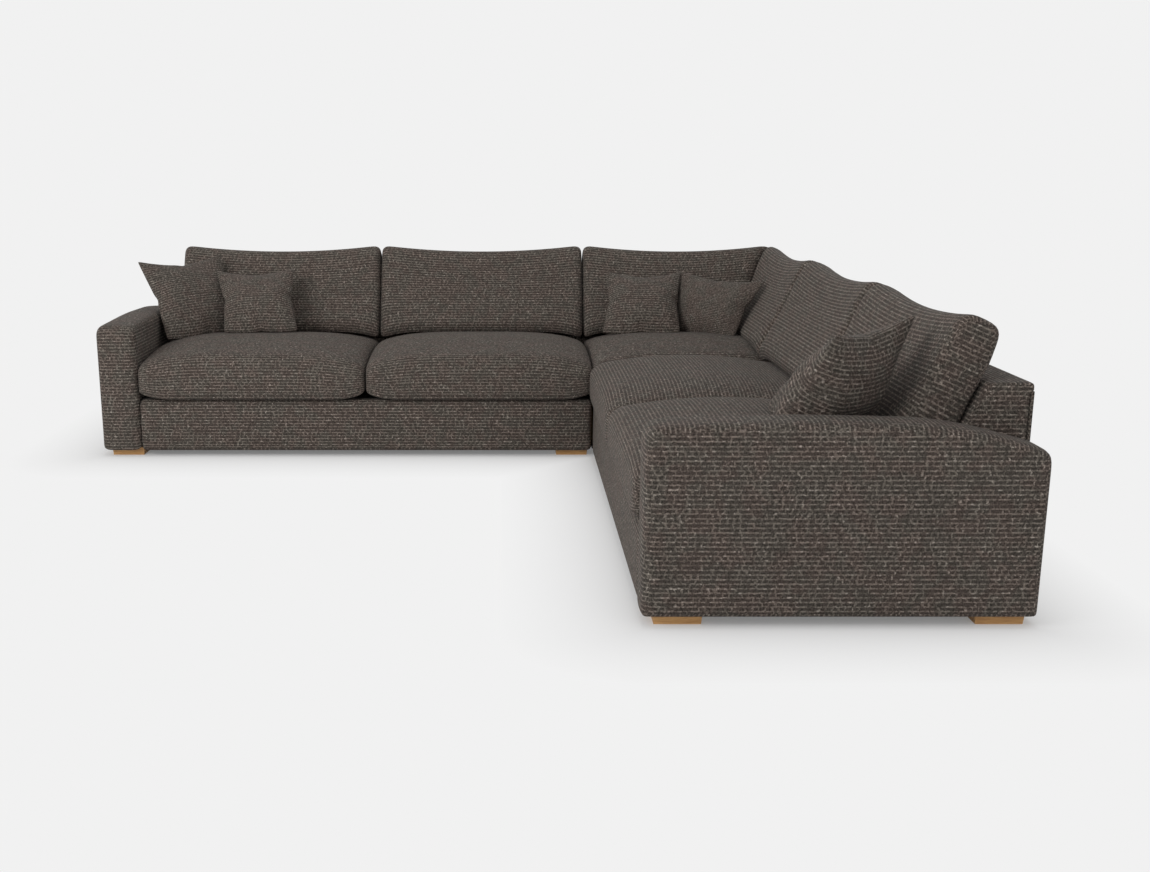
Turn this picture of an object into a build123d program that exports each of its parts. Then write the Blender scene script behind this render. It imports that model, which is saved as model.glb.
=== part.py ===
"""Corner sofa: two equal runs that meet in a square corner seat.

Frame, in millimetres: the origin is on the floor at the middle of the square that the sofa covers.
+X points right along the rear run, +Y to the wall behind the rear run, +Z up.
The sofa is symmetric about the plane X = Y, so the rear run is built and then mirrored to the side run.
"""
import os
from math import cos, hypot, radians, sin, tan

from build123d import *

# ---------------------------------------------------------------- driving dimensions
RUN_LENGTH = 3240.0  # each run, from the outer face of its arm to the wall behind the other run
DEPTH = 1100.0  # front of the border to the back of the frame
ARM_WIDTH = 170.0
FOOT_HEIGHT = 35.0
BORDER_TOP = 250.0  # the seat cushions lie at this height
BACK_TOP = 664.0  # top of the upholstered back frame
BACK_TOP_THICKNESS = 131.0
RAKE = 25.0  # lean of the back frame's inside face, in degrees from upright
SEAT_CROWN = 492.0  # highest point of a seat cushion
BACK_CUSHION_TOP = 845.0
BACK_CUSHION_DIP = 26.0  # how far the middle of its top hangs below its corners
SMALL_SCATTER = 330.0  # side of a small scatter cushion
LARGE_SCATTER = 400.0
SCATTER_THICKNESS = 110.0

HALF = RUN_LENGTH / 2
FRONT = HALF - DEPTH  # front plane of the rear run in Y, and of the side run in X
ARM_INNER = -HALF + ARM_WIDTH  # inner face of the rear run's arm, in X
CELL = (FRONT - ARM_INNER) / 2  # width of one seat

# ---------------------------------------------------------------- build-up of the upholstery and timber
SKIN_FRONT = 25.0  # foam and fabric over the front rail
SKIN_SIDE = 15.0  # foam and fabric over the arm boards
SKIN_BOTTOM = 10.0
PANEL = 10.0  # outside back: fabric over board
RAIL = 25.0  # thickness of every rail
BOARD = 12.0  # plywood sides of the arms
CLOTH = 2.0  # dust cover, webbing and other thin layers
UNIT_GAP = 1.0  # each unit stops this far short of the joint plane
UNIT_END = FRONT - UNIT_GAP
CONNECTOR_SPACE = 10.0  # the end rails stand back from the joint plane to make room for the connectors
FRAME_BOTTOM = FOOT_HEIGHT + CLOTH
RAIL_TOP = 226.0
PLATFORM_BOTTOM = RAIL_TOP + CLOTH
PLATFORM_TOP = BORDER_TOP - 1
BORDER_SETBACK = 2.0  # the border stands this little behind the front of the arm
FRONT_FACE = FRONT + BORDER_SETBACK
RAIL_FACE = FRONT_FACE + SKIN_FRONT
OUTSIDE_RAIL = HALF - PANEL - RAIL
LEAN = tan(radians(RAKE))
RAKE_TOP = HALF - BACK_TOP_THICKNESS  # where the inside back meets its top, in Y
WRAP = 640.0  # the inside back's fabric wraps over the top and down to here
BACK_SKIN = 24.0  # padding on the raked face


def rake_y(z):
    """Y of the raked inside face of the back at height z."""
    return RAKE_TOP - (BACK_TOP - z) * LEAN


# ---------------------------------------------------------------- helpers
MITRE = Plane(origin=(0, 0, 0), z_dir=(1, -1, 0))  # the plane X = Y; its +Z side is the side run


def block(x0, x1, y0, y1, z0, z1):
    return Pos((x0 + x1) / 2, (y0 + y1) / 2, (z0 + z1) / 2) * Box(x1 - x0, y1 - y0, z1 - z0)


def profile_x(points, x0, x1):
    """A polygon in Y and Z, extruded from x0 to x1."""
    face = make_face(Polyline(*[(x0, y, z) for y, z in points], close=True))
    return extrude(face, amount=x1 - x0, dir=(1, 0, 0))


def to_side_run(shape):
    return mirror(shape, about=MITRE)


def both_runs(shapes):
    return list(shapes) + [to_side_run(s) for s in shapes]


def solids_of(shapes):
    return [s for shape in shapes for s in shape.solids()]


def rear_side_of_mitre(gap):
    """The half space on the rear run's side of the mitre, gap short of it."""
    reach = 4 * HALF
    slab = Box(reach, reach, reach, align=(Align.CENTER, Align.CENTER, Align.MAX))
    return MITRE.offset(-gap) * slab


def hollow(outer, void):
    return outer - void


nodes = {}


def node(name, *shapes):
    nodes[name] = solids_of(shapes)


# ---------------------------------------------------------------- arms: padded shells over plywood boxes
ARM_FRONT_TOP, ARM_CREST, ARM_FALL, ARM_REAR_TOP = 568.0, 580.0, 571.0, 500.0  # heights along its top
ARM_CREST_AT, ARM_FALL_AT = 420.0, 830.0  # how far behind the front the crest and the fall are
ARM_ROUNDS = [45.0, 4000.0, 1100.0, 32.0]  # radii at the front, the crest, the fall and the rear
ARM_EDGE = 18.0
ARM_POST = 60.0
ARM_POST_TOPS = (470.0, 430.0)  # front post, rear post
ARM_BATTEN = 40.0
ARM_BATTEN_WIDTH = 80.0
ARM_BATTEN_BOTTOM = 490.0
ARM_BATTEN_STARTS = (760.0, 1000.0, 1240.0)  # where each batten begins, in Y
ARM_VOID_DROP = 26.0  # padding on top of the arm boards


def arm_solid(x0, x1, drop=0.0, front=0.0, rear=0.0, bottom=FOOT_HEIGHT):
    """The arm's side view, drawn in by the given thicknesses and extruded from x0 to x1."""
    start, end = FRONT + front, HALF - rear
    outline = FilletPolyline((x0, start, bottom), (x0, start, ARM_FRONT_TOP - drop),
                             (x0, FRONT + ARM_CREST_AT, ARM_CREST - drop), (x0, FRONT + ARM_FALL_AT, ARM_FALL - drop),
                             (x0, end, ARM_REAR_TOP - drop), (x0, end, bottom), radius=ARM_ROUNDS)
    base = Line((x0, end, bottom), (x0, start, bottom))
    return extrude(make_face([outline, base]), amount=x1 - x0, dir=(1, 0, 0))


def make_arms():
    outer = arm_solid(-HALF, ARM_INNER)
    sides = outer.faces().filter_by(Axis.X)
    rims = [e for face in sides for e in face.edges() if e.center().Z > FOOT_HEIGHT + 1]
    outer = fillet(rims, ARM_EDGE)
    x0, x1 = -HALF + SKIN_SIDE, ARM_INNER - SKIN_SIDE
    bottom = FOOT_HEIGHT + SKIN_BOTTOM
    inner = (ARM_VOID_DROP, SKIN_FRONT, PANEL, bottom)
    void = arm_solid(x0, x1, *inner)
    boards = [arm_solid(x0, x0 + BOARD, *inner), arm_solid(x1 - BOARD, x1, *inner)]
    inside = (x0 + BOARD, x1 - BOARD)
    posts = []
    for y, top in zip((FRONT + SKIN_FRONT, HALF - PANEL - ARM_POST), ARM_POST_TOPS):
        posts.append(block(*inside, y, y + ARM_POST, bottom + ARM_BATTEN, top))
    battens = []
    for y in ARM_BATTEN_STARTS:
        battens.append(block(*inside, y, y + ARM_BATTEN_WIDTH, ARM_BATTEN_BOTTOM, ARM_BATTEN_BOTTOM + ARM_BATTEN))
    return outer, void, boards, posts, battens


arm, arm_void, arm_boards, arm_posts, arm_battens = make_arms()

# ---------------------------------------------------------------- feet: oak blocks, bolted from below
FOOT = 140.0
FOOT_TAPER = 3.0  # each side draws in by this much at the floor
OUTER_INSET = 34.0  # from the outer faces of the sofa to the feet: sides, front, rear and joints
FRONT_INSET = 32.0
REAR_INSET = 24.0
JOINT_INSET = 17.0
BOLT_R = 4.0
BOLT_HEAD_R = 8.0
BOLT_HEAD = 5.0
BOLT_CLEAR = 0.25
BOLT_TOP = 78.0
SINK = 8.0  # depth of the counterbore that hides the bolt head
BLOCK = 100.0
BLOCK_HEIGHT = 45.0

foot_low, foot_high = FRONT + FRONT_INSET + FOOT / 2, HALF - REAR_INSET - FOOT / 2
arm_foot_x = -HALF + OUTER_INSET + FOOT / 2
joint_foot_x = FRONT - JOINT_INSET - FOOT / 2
arm_feet = [(arm_foot_x, foot_low), (arm_foot_x, foot_high)]
seat_feet = [(joint_foot_x, foot_low), (joint_foot_x, foot_high)]
corner_feet = [(foot_low, foot_low), (foot_low, foot_high), (foot_high, foot_low), (foot_high, foot_high)]


def bolt(grow=0.0):
    shank = extrude(Circle(BOLT_R + grow), amount=BOLT_TOP - SINK + BOLT_HEAD)
    head = extrude(Circle(BOLT_HEAD_R + grow), amount=BOLT_HEAD)
    return Pos(0, 0, SINK - BOLT_HEAD) * (shank + head)


def foot():
    taper = -Vector(0, 0, 1).get_angle(Vector(FOOT_TAPER, 0, FOOT_HEIGHT))
    body = extrude(Rectangle(FOOT - 2 * FOOT_TAPER, FOOT - 2 * FOOT_TAPER), amount=FOOT_HEIGHT, taper=taper)
    sink = extrude(Circle(BOLT_HEAD_R + BOLT_CLEAR), amount=SINK)
    return body - sink - bolt(BOLT_CLEAR)


def drill(shape, places):
    for x, y in places:
        shape = shape - Pos(x, y, 0) * bolt(BOLT_CLEAR)
    return shape


def corner_block(x, y, inside_y, inside_x):
    """A timber block over a foot: inside_y and inside_x are its faces against the rails."""
    x0 = inside_x if inside_x < x else inside_x - BLOCK
    y0 = inside_y if inside_y < y else inside_y - BLOCK
    return drill(block(x0, x0 + BLOCK, y0, y0 + BLOCK, FRAME_BOTTOM, FRAME_BOTTOM + BLOCK_HEIGHT), [(x, y)])


wing_feet = arm_feet + seat_feet
wing_foot_solids = [Pos(x, y, 0) * foot() for x, y in wing_feet]
wing_bolts = [Pos(x, y, 0) * bolt() for x, y in wing_feet]
node("feet", *both_runs(wing_foot_solids), *[Pos(x, y, 0) * foot() for x, y in corner_feet])
node("foot_bolts", *both_runs(wing_bolts), *[Pos(x, y, 0) * bolt() for x, y in corner_feet])

arm = drill(hollow(arm, arm_void), arm_feet)
node("left_arm_upholstery", arm)
node("right_arm_upholstery", to_side_run(arm))
node("arm_side_boards", *both_runs(arm_boards))
node("arm_posts", *both_runs(arm_posts))
node("arm_top_battens", *both_runs(arm_battens))

# ---------------------------------------------------------------- base frame: rails, cross rails and blocks
END_RAIL_TOP = RAIL_TOP - CLOTH
CROSS_RAIL_TOP = 150.0
SEAT_BACK_RAIL = rake_y(PLATFORM_BOTTOM) + 4.0  # its front face, just behind the foot of the raked face
frame_end = FRONT - CONNECTOR_SPACE
corner_start = FRONT + CONNECTOR_SPACE

front_rail = block(ARM_INNER, frame_end, RAIL_FACE, RAIL_FACE + RAIL, FRAME_BOTTOM, RAIL_TOP)
corner_front_rail = block(corner_start, corner_start + RAIL, corner_start + RAIL, SEAT_BACK_RAIL,
                          FRAME_BOTTOM, END_RAIL_TOP)
node("front_rails", *both_runs([front_rail]))

seat_back_rail = block(ARM_INNER, frame_end, SEAT_BACK_RAIL, SEAT_BACK_RAIL + RAIL, FRAME_BOTTOM, RAIL_TOP)
corner_seat_rail = block(corner_start, SEAT_BACK_RAIL, SEAT_BACK_RAIL, SEAT_BACK_RAIL + RAIL,
                         FRAME_BOTTOM, END_RAIL_TOP)
node("seat_back_rails", *both_runs([seat_back_rail, corner_seat_rail]))

outside_rail = block(ARM_INNER, frame_end, OUTSIDE_RAIL, OUTSIDE_RAIL + RAIL, FRAME_BOTTOM, PLATFORM_BOTTOM)
corner_outside_rail = block(corner_start, OUTSIDE_RAIL, OUTSIDE_RAIL, OUTSIDE_RAIL + RAIL,
                            FRAME_BOTTOM, PLATFORM_BOTTOM)
node("outside_back_rails", *both_runs([outside_rail, corner_outside_rail]))


def end_rail(x):
    seat = block(x, x + RAIL, RAIL_FACE + RAIL, SEAT_BACK_RAIL, FRAME_BOTTOM, END_RAIL_TOP)
    tail = block(x, x + RAIL, SEAT_BACK_RAIL + RAIL, OUTSIDE_RAIL, FRAME_BOTTOM, PLATFORM_BOTTOM)
    return [seat, tail]


corner_tail = block(corner_start, corner_start + RAIL, SEAT_BACK_RAIL + RAIL, OUTSIDE_RAIL,
                    FRAME_BOTTOM, PLATFORM_BOTTOM)
wing_end_rails = end_rail(ARM_INNER) + end_rail(frame_end - RAIL)
node("end_rails", *both_runs(wing_end_rails + [corner_front_rail, corner_tail]))

cross_rails = []
for share in (1 / 3, 2 / 3):
    x = ARM_INNER + (frame_end - ARM_INNER) * share
    cross_rails.append(block(x, x + RAIL, RAIL_FACE + RAIL, SEAT_BACK_RAIL, FRAME_BOTTOM, CROSS_RAIL_TOP))
node("cross_rails", *both_runs(cross_rails))

x_joint = frame_end - RAIL
blocks = [
    corner_block(joint_foot_x, foot_low, RAIL_FACE + RAIL, x_joint),
    corner_block(joint_foot_x, foot_high, OUTSIDE_RAIL, x_joint),
]
for x, y in arm_feet:
    x0, x1 = -HALF + SKIN_SIDE + BOARD, ARM_INNER - SKIN_SIDE - BOARD
    bottom = FOOT_HEIGHT + SKIN_BOTTOM
    blocks.append(drill(block(x0, x1, y - BLOCK / 2, y + BLOCK / 2, bottom, bottom + ARM_BATTEN), [(x, y)]))
corner_inner = corner_start + RAIL
corner_blocks = [
    corner_block(foot_low, foot_low, corner_inner, corner_inner),
    corner_block(foot_high, foot_high, OUTSIDE_RAIL, OUTSIDE_RAIL),
    corner_block(foot_low, foot_high, OUTSIDE_RAIL, corner_inner),
    corner_block(foot_high, foot_low, corner_inner, OUTSIDE_RAIL),
]
node("corner_blocks", *both_runs(blocks), *corner_blocks)

# ---------------------------------------------------------------- webbing: elastic straps under the platform
STRAP = 50.0
STRAPS_PER_WING = 12
CROSS_STRAPS = 5
CORNER_STRAPS = 5


def spread(start, end, count):
    """Centres of count equal places between start and end."""
    step = (end - start) / count
    return [start + step * (i + 0.5) for i in range(count)]


straps = []
for x in spread(ARM_INNER, frame_end, STRAPS_PER_WING):
    straps.append(block(x - STRAP / 2, x + STRAP / 2, RAIL_FACE, SEAT_BACK_RAIL + RAIL,
                        RAIL_TOP, PLATFORM_BOTTOM))
for y in spread(RAIL_FACE + RAIL, SEAT_BACK_RAIL, CROSS_STRAPS):
    straps.append(block(ARM_INNER, frame_end, y - STRAP / 2, y + STRAP / 2, END_RAIL_TOP, RAIL_TOP))
corner_straps = []
for x in spread(corner_inner, SEAT_BACK_RAIL, CORNER_STRAPS):
    corner_straps.append(block(x - STRAP / 2, x + STRAP / 2, corner_start, SEAT_BACK_RAIL + RAIL,
                               RAIL_TOP, PLATFORM_BOTTOM))
    corner_straps.append(block(corner_start, SEAT_BACK_RAIL + RAIL, x - STRAP / 2, x + STRAP / 2,
                               END_RAIL_TOP, RAIL_TOP))
node("seat_webbing", *both_runs(straps), *corner_straps)

# ---------------------------------------------------------------- front borders and seat platforms
BORDER_EDGE = 22.0
LIP = SKIN_FRONT + RAIL
border = profile_x([(FRONT_FACE, FOOT_HEIGHT), (FRONT_FACE, BORDER_TOP), (FRONT_FACE + LIP, BORDER_TOP),
                    (FRONT_FACE + LIP, PLATFORM_BOTTOM), (RAIL_FACE, PLATFORM_BOTTOM), (RAIL_FACE, FOOT_HEIGHT)],
                   ARM_INNER, UNIT_END)
front_edges = border.edges().filter_by(Axis.X).filter_by_position(Axis.Y, FRONT_FACE - 1, FRONT_FACE + 1)
border = fillet(front_edges.sort_by(Axis.Z)[-1], BORDER_EDGE)
node("left_front_border", border)
node("right_front_border", to_side_run(border))

platform_rear = rake_y(PLATFORM_BOTTOM) - 1
platform = block(ARM_INNER, UNIT_END, FRONT_FACE + LIP, platform_rear, PLATFORM_BOTTOM, PLATFORM_TOP)
corner_platform = block(FRONT + UNIT_GAP, platform_rear, FRONT + UNIT_GAP, platform_rear,
                        PLATFORM_BOTTOM, PLATFORM_TOP)
node("left_seat_platform", platform)
node("corner_seat_platform", corner_platform)
node("right_seat_platform", to_side_run(platform))

wing_dust = drill(block(ARM_INNER, UNIT_END, RAIL_FACE, HALF - PANEL, FOOT_HEIGHT, FRAME_BOTTOM), seat_feet)
corner_edge = FRONT + UNIT_GAP  # where the corner unit begins
corner_dust = drill(block(corner_edge, HALF - PANEL, corner_edge, HALF - PANEL, FOOT_HEIGHT, FRAME_BOTTOM),
                    corner_feet)
node("dust_covers", *both_runs([wing_dust]), corner_dust)

# ---------------------------------------------------------------- backs: raked gussets, top rails, padding
GUSSET = 22.0
TOP_RAIL_BOTTOM = 600.0
TOP_RAIL_DEPTH = 88.0
BACK_EDGE_OUT = 10.0
BACK_EDGE_IN = 22.0
VOID_WALL = 10.0
BACK_STRAPS = 4
BACK_PADDING = 20.0  # on top of the back
CORNER_GUSSET = 1240.0  # the corner's second gusset, in X
void_rear = HALF - PANEL - VOID_WALL
void_top = BACK_TOP - BACK_PADDING
void_bottom = PLATFORM_BOTTOM + VOID_WALL
skin_y = BACK_SKIN / cos(radians(RAKE))


def back_outer(x0, x1):
    rear = HALF - PANEL
    shape = profile_x([(rear, PLATFORM_BOTTOM), (rear, WRAP), (HALF, WRAP), (HALF, BACK_TOP),
                       (RAKE_TOP, BACK_TOP), (rake_y(PLATFORM_BOTTOM), PLATFORM_BOTTOM)], x0, x1)
    top = shape.edges().filter_by(Axis.X).group_by(Axis.Z)[-1].sort_by(Axis.Y)
    shape = fillet(top[0], BACK_EDGE_IN)
    top = shape.edges().filter_by(Axis.X).filter_by_position(Axis.Z, BACK_TOP - 1, BACK_TOP + 1)
    return fillet(top.sort_by(Axis.Y)[-1], BACK_EDGE_OUT)


def back_section(x0, x1, inset=0.0, top=None):
    """The hollow inside the back; inset draws in its raked face."""
    top = void_top if top is None else top
    shift = skin_y + inset / cos(radians(RAKE))
    return profile_x([(void_rear, void_bottom), (void_rear, top), (rake_y(top) + shift, top),
                      (rake_y(void_bottom) + shift, void_bottom)], x0, x1)


def gusset(x):
    return back_section(x, x + GUSSET, CLOTH, TOP_RAIL_BOTTOM)


def top_rail(x0, x1):
    return block(x0, x1, void_rear - TOP_RAIL_DEPTH, void_rear, TOP_RAIL_BOTTOM, void_top)


def back_strap(x0, x1, z):
    """A strap on the raked faces of the gussets, centred at height z."""
    y = rake_y(z) + skin_y
    strap = Box(x1 - x0, CLOTH, STRAP, align=(Align.CENTER, Align.MIN, Align.CENTER))
    return Pos((x0 + x1) / 2, y, z) * Rot(-RAKE, 0, 0) * strap


strap_heights = spread(void_bottom, TOP_RAIL_BOTTOM, BACK_STRAPS)
wing_ends = (ARM_INNER, UNIT_END)
wing_inside = (ARM_INNER + VOID_WALL, UNIT_END - VOID_WALL)
wing_back = hollow(back_outer(*wing_ends), back_section(*wing_inside))
wing_middle = (wing_inside[0] + wing_inside[1] - GUSSET) / 2
wing_gussets = [gusset(x) for x in (wing_inside[0], wing_middle, wing_inside[1] - GUSSET)]
wing_straps = [back_strap(*wing_inside, z) for z in strap_heights]

corner_inside = (corner_edge + VOID_WALL, HALF)
corner_shell = back_outer(corner_edge, HALF) & rear_side_of_mitre(UNIT_GAP / 2)
corner_void = back_section(*corner_inside) & rear_side_of_mitre(VOID_WALL)
corner_back = hollow(corner_shell, corner_void)
corner_gussets = [gusset(corner_inside[0]), gusset(CORNER_GUSSET) & rear_side_of_mitre(VOID_WALL)]
corner_top_rail = top_rail(*corner_inside) & rear_side_of_mitre(VOID_WALL)
corner_back_straps = [back_strap(corner_inside[0], CORNER_GUSSET + GUSSET, z) & rear_side_of_mitre(VOID_WALL)
                      for z in strap_heights]

node("left_back_upholstery", wing_back)
node("corner_rear_back_upholstery", corner_back)
node("corner_side_back_upholstery", to_side_run(corner_back))
node("right_back_upholstery", to_side_run(wing_back))
node("back_gussets", *both_runs(wing_gussets + corner_gussets))
node("back_top_rails", *both_runs([top_rail(*wing_inside), corner_top_rail]))
node("back_webbing", *both_runs(wing_straps + corner_back_straps))

wing_panel = block(*wing_ends, HALF - PANEL, HALF, FOOT_HEIGHT, WRAP)
corner_panel = block(corner_edge, HALF, HALF - PANEL, HALF, FOOT_HEIGHT, WRAP) & rear_side_of_mitre(UNIT_GAP / 2)
node("outside_back_panels", *both_runs([wing_panel, corner_panel]))

# ---------------------------------------------------------------- connectors: plates that hook the units together
PLATE = 3.0
PLATE_WIDTH = 60.0
PLATE_LOW, PLATE_HIGH = 95.0, 160.0
HOOK_CLEAR = 1.5
SCREW_R = 2.5
SCREW_HEAD_R = 4.5
SCREW_LENGTH = 18.0
SCREW_HEAD = 1.2
SCREW_INSET = 8.0  # from the side edges of a plate
SCREW_RISE = 12.0  # above its lower edge
TONGUE_RISE = 30.0  # lower edge of the hook's tongue above the plate's lower edge
SHELF_RISE = 25.0  # lower edge of the socket's shelf
connector_places = (760.0, 1140.0)
hook_root = FRONT - CONNECTOR_SPACE
socket_root = FRONT + CONNECTOR_SPACE


def along_y(y, x0, x1, z0, z1, width=PLATE_WIDTH):
    """A plate centred on y, as wide along Y as width."""
    return block(x0, x1, y - width / 2, y + width / 2, z0, z1)


def screw_at(x, y, z, into):
    """A screw with its head on the plate's face at x, driven along into, which is +1 or -1 in X."""
    head = extrude(Circle(SCREW_HEAD_R), amount=SCREW_HEAD)
    shank = extrude(Circle(SCREW_R), amount=-SCREW_LENGTH)
    return Pos(x, y, z) * Rot(0, -90 * into, 0) * (head + shank)


def screw_hole(x, y, z):
    reach = 2 * (SCREW_LENGTH + CONNECTOR_SPACE)
    return Pos(x, y, z) * Rot(0, 90, 0) * Cylinder(SCREW_R + BOLT_CLEAR / 2, reach)


hook_tongue = hook_root + 3 * PLATE
lip_start = hook_tongue - HOOK_CLEAR - PLATE
shelf_bottom = PLATE_LOW + SHELF_RISE
hooks, sockets, screws, holes = [], [], [], []
for y in connector_places:
    plate = along_y(y, hook_root, hook_root + PLATE, PLATE_LOW, PLATE_HIGH)
    bridge = along_y(y, hook_root, hook_tongue + PLATE, PLATE_HIGH - PLATE, PLATE_HIGH, PLATE_WIDTH / 2)
    tongue = along_y(y, hook_tongue, hook_tongue + PLATE, PLATE_LOW + TONGUE_RISE, PLATE_HIGH, PLATE_WIDTH / 2)
    hooks.append(plate + bridge + tongue)
    plate = along_y(y, socket_root - PLATE, socket_root, PLATE_LOW, PLATE_HIGH)
    shelf = along_y(y, lip_start, socket_root, shelf_bottom, shelf_bottom + PLATE, PLATE_WIDTH / 2)
    lip = along_y(y, lip_start, lip_start + PLATE, shelf_bottom, PLATE_HIGH - 2 * PLATE, PLATE_WIDTH / 2)
    sockets.append(plate + shelf + lip)
    for step in (SCREW_INSET - PLATE_WIDTH / 2, PLATE_WIDTH / 2 - SCREW_INSET):
        z = PLATE_LOW + SCREW_RISE
        screws.append(screw_at(hook_root + PLATE, y + step, z, -1))
        screws.append(screw_at(socket_root - PLATE, y + step, z, 1))
        holes.append(screw_hole(FRONT, y + step, z))


def drill_screws(shape):
    for hole in holes + [to_side_run(h) for h in holes]:
        shape = shape - hole
    return shape


nodes["connector_hooks"] = solids_of(drill_screws(s) for s in both_runs(hooks))
nodes["connector_sockets"] = solids_of(drill_screws(s) for s in both_runs(sockets))
nodes["connector_screws"] = solids_of(both_runs(screws))
nodes["end_rails"] = solids_of(drill_screws(s) for s in nodes["end_rails"])

# ---------------------------------------------------------------- cushions: shared outline helpers
CUSHION_GAP = 2.0
COVER = 2.5  # fabric and lining
FILL_CLEAR = 0.5
FRAME_CLEAR = 3.0
REACH = 2 * HALF
EASE_STEPS = 3


def eased(points, radii):
    """The closed outline with each corner turned in EASE_STEPS straight steps on an arc of its radius."""
    outline = []
    for before, corner, after, radius in zip(points[-1:] + points[:-1], points, points[1:] + points[:1], radii):
        here = Vector(*corner)
        back, ahead = (Vector(*before) - here).normalized(), (Vector(*after) - here).normalized()
        bisector = (back + ahead).normalized()
        half_angle = radians(back.get_angle(ahead) / 2)
        centre = here + bisector * (radius / sin(half_angle))
        start = here + back * (radius / tan(half_angle)) - centre
        end = here + ahead * (radius / tan(half_angle)) - centre
        for step in range(EASE_STEPS + 1):
            share = step / EASE_STEPS
            spoke = (start * (1 - share) + end * share).normalized()
            outline.append(centre + spoke * radius)
    return outline


def drawn_in(outline, distance):
    """The closed outline with every side moved inwards by distance."""
    area = sum(a.X * b.Y - b.X * a.Y for a, b in zip(outline, outline[1:] + outline[:1]))
    turn = 90 if area > 0 else -90
    result = []
    for before, here, after in zip(outline[-1:] + outline[:-1], outline, outline[1:] + outline[:1]):
        first = (here - before).normalized().rotate(Axis.Z, turn)
        second = (after - here).normalized().rotate(Axis.Z, turn)
        result.append(here + (first + second) * (distance / (1 + first.dot(second))))
    return result


def seen_along(axis, points, radii, inset=0):
    """An eased outline, drawn in by inset and extruded both ways along axis.

    Points are (X, Z) along Y, (Y, Z) along X and (X, Y) along Z.
    """
    place = {"X": lambda p: (0, p.X, p.Y), "Y": lambda p: (p.X, 0, p.Y), "Z": lambda p: (p.X, p.Y, 0)}[axis]
    outline = drawn_in(eased(points, radii), inset)
    direction = {"X": (1, 0, 0), "Y": (0, 1, 0), "Z": (0, 0, 1)}[axis]
    face = make_face(Polyline(*[place(p) for p in outline], close=True))
    return extrude(face, amount=REACH, dir=direction, both=True)


def cover_and_fill(make_solid):
    """A closed cover and the filling that lies inside it, from a function of the inset."""
    cover = make_solid(0) - make_solid(COVER)
    return cover, make_solid(COVER + FILL_CLEAR)


# ---------------------------------------------------------------- seat cushions: zipped covers over foam
SEAT_OVERHANG = 17.0  # the front of a seat cushion stands this far in front of the arm
SEAT_EDGE = 450.0  # height of its side edges before they are rounded
SEAT_APEX = SEAT_CROWN + 14.0  # the crown before it is rounded
SEAT_APEX_AT = 357.0  # how far the crown is behind the front of the cushion
SEAT_REAR = 452.0  # height where its top meets the raked back
SEAT_CORNER_R = 50.0  # seen from above
SEAT_TOP_R = 62.0
SEAT_BOTTOM_R = 32.0
SEAT_REAR_R = 16.0
SEAT_CROWN_R = 2200.0
SEAT_BOTTOM = BORDER_TOP + 0.5


def raked(z):
    """Y of a cushion's rear face, which lies against the raked back."""
    return rake_y(z) - FRAME_CLEAR / cos(radians(RAKE))


def seat_side(start):
    """Side view of a seat cushion, from its front at start to the raked back."""
    points = [(start, SEAT_BOTTOM), (start, SEAT_EDGE), (start + SEAT_APEX_AT, SEAT_APEX),
              (raked(SEAT_REAR), SEAT_REAR), (raked(SEAT_BOTTOM), SEAT_BOTTOM)]
    return points, [SEAT_BOTTOM_R, SEAT_TOP_R, SEAT_CROWN_R, SEAT_REAR_R, SEAT_REAR_R]


def seat_solid(x0, x1, y0, inset):
    middle = (x0 + x1) / 2
    front_view = [(x0, SEAT_BOTTOM), (x0, SEAT_EDGE), (middle, SEAT_APEX), (x1, SEAT_EDGE), (x1, SEAT_BOTTOM)]
    front_radii = [SEAT_BOTTOM_R, SEAT_TOP_R, SEAT_CROWN_R, SEAT_TOP_R, SEAT_BOTTOM_R]
    rear = raked(SEAT_CROWN)
    plan = [(x0, y0), (x1, y0), (x1, rear), (x0, rear)]
    shape = seen_along("X", *seat_side(y0), inset) & seen_along("Y", front_view, front_radii, inset)
    return shape & seen_along("Z", plan, [SEAT_CORNER_R] * 4, inset)


def corner_seat_solid(inset):
    start, rear = FRONT + CUSHION_GAP, raked(SEAT_CROWN)
    plan = [(start, start), (rear, start), (rear, rear), (start, rear)]
    side = seat_side(start)
    shape = seen_along("X", *side, inset) & seen_along("Y", *side, inset)
    return shape & seen_along("Z", plan, [SEAT_CORNER_R] * 4, inset)


def seat_and_mirror(place, x0, x1):
    cover, foam = cover_and_fill(lambda inset: seat_solid(x0, x1, FRONT - SEAT_OVERHANG, inset))
    node(f"left_{place}_seat_cushion_cover", cover)
    node(f"left_{place}_seat_cushion_foam", foam)
    node(f"right_{place}_seat_cushion_cover", to_side_run(cover))
    node(f"right_{place}_seat_cushion_foam", to_side_run(foam))


seat_joint = ARM_INNER + CELL
seat_and_mirror("outer", ARM_INNER + CUSHION_GAP, seat_joint - CUSHION_GAP)
seat_and_mirror("inner", seat_joint + CUSHION_GAP, FRONT - CUSHION_GAP)
cover, foam = cover_and_fill(corner_seat_solid)
node("corner_seat_cushion_cover", cover)
node("corner_seat_cushion_foam", foam)

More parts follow.
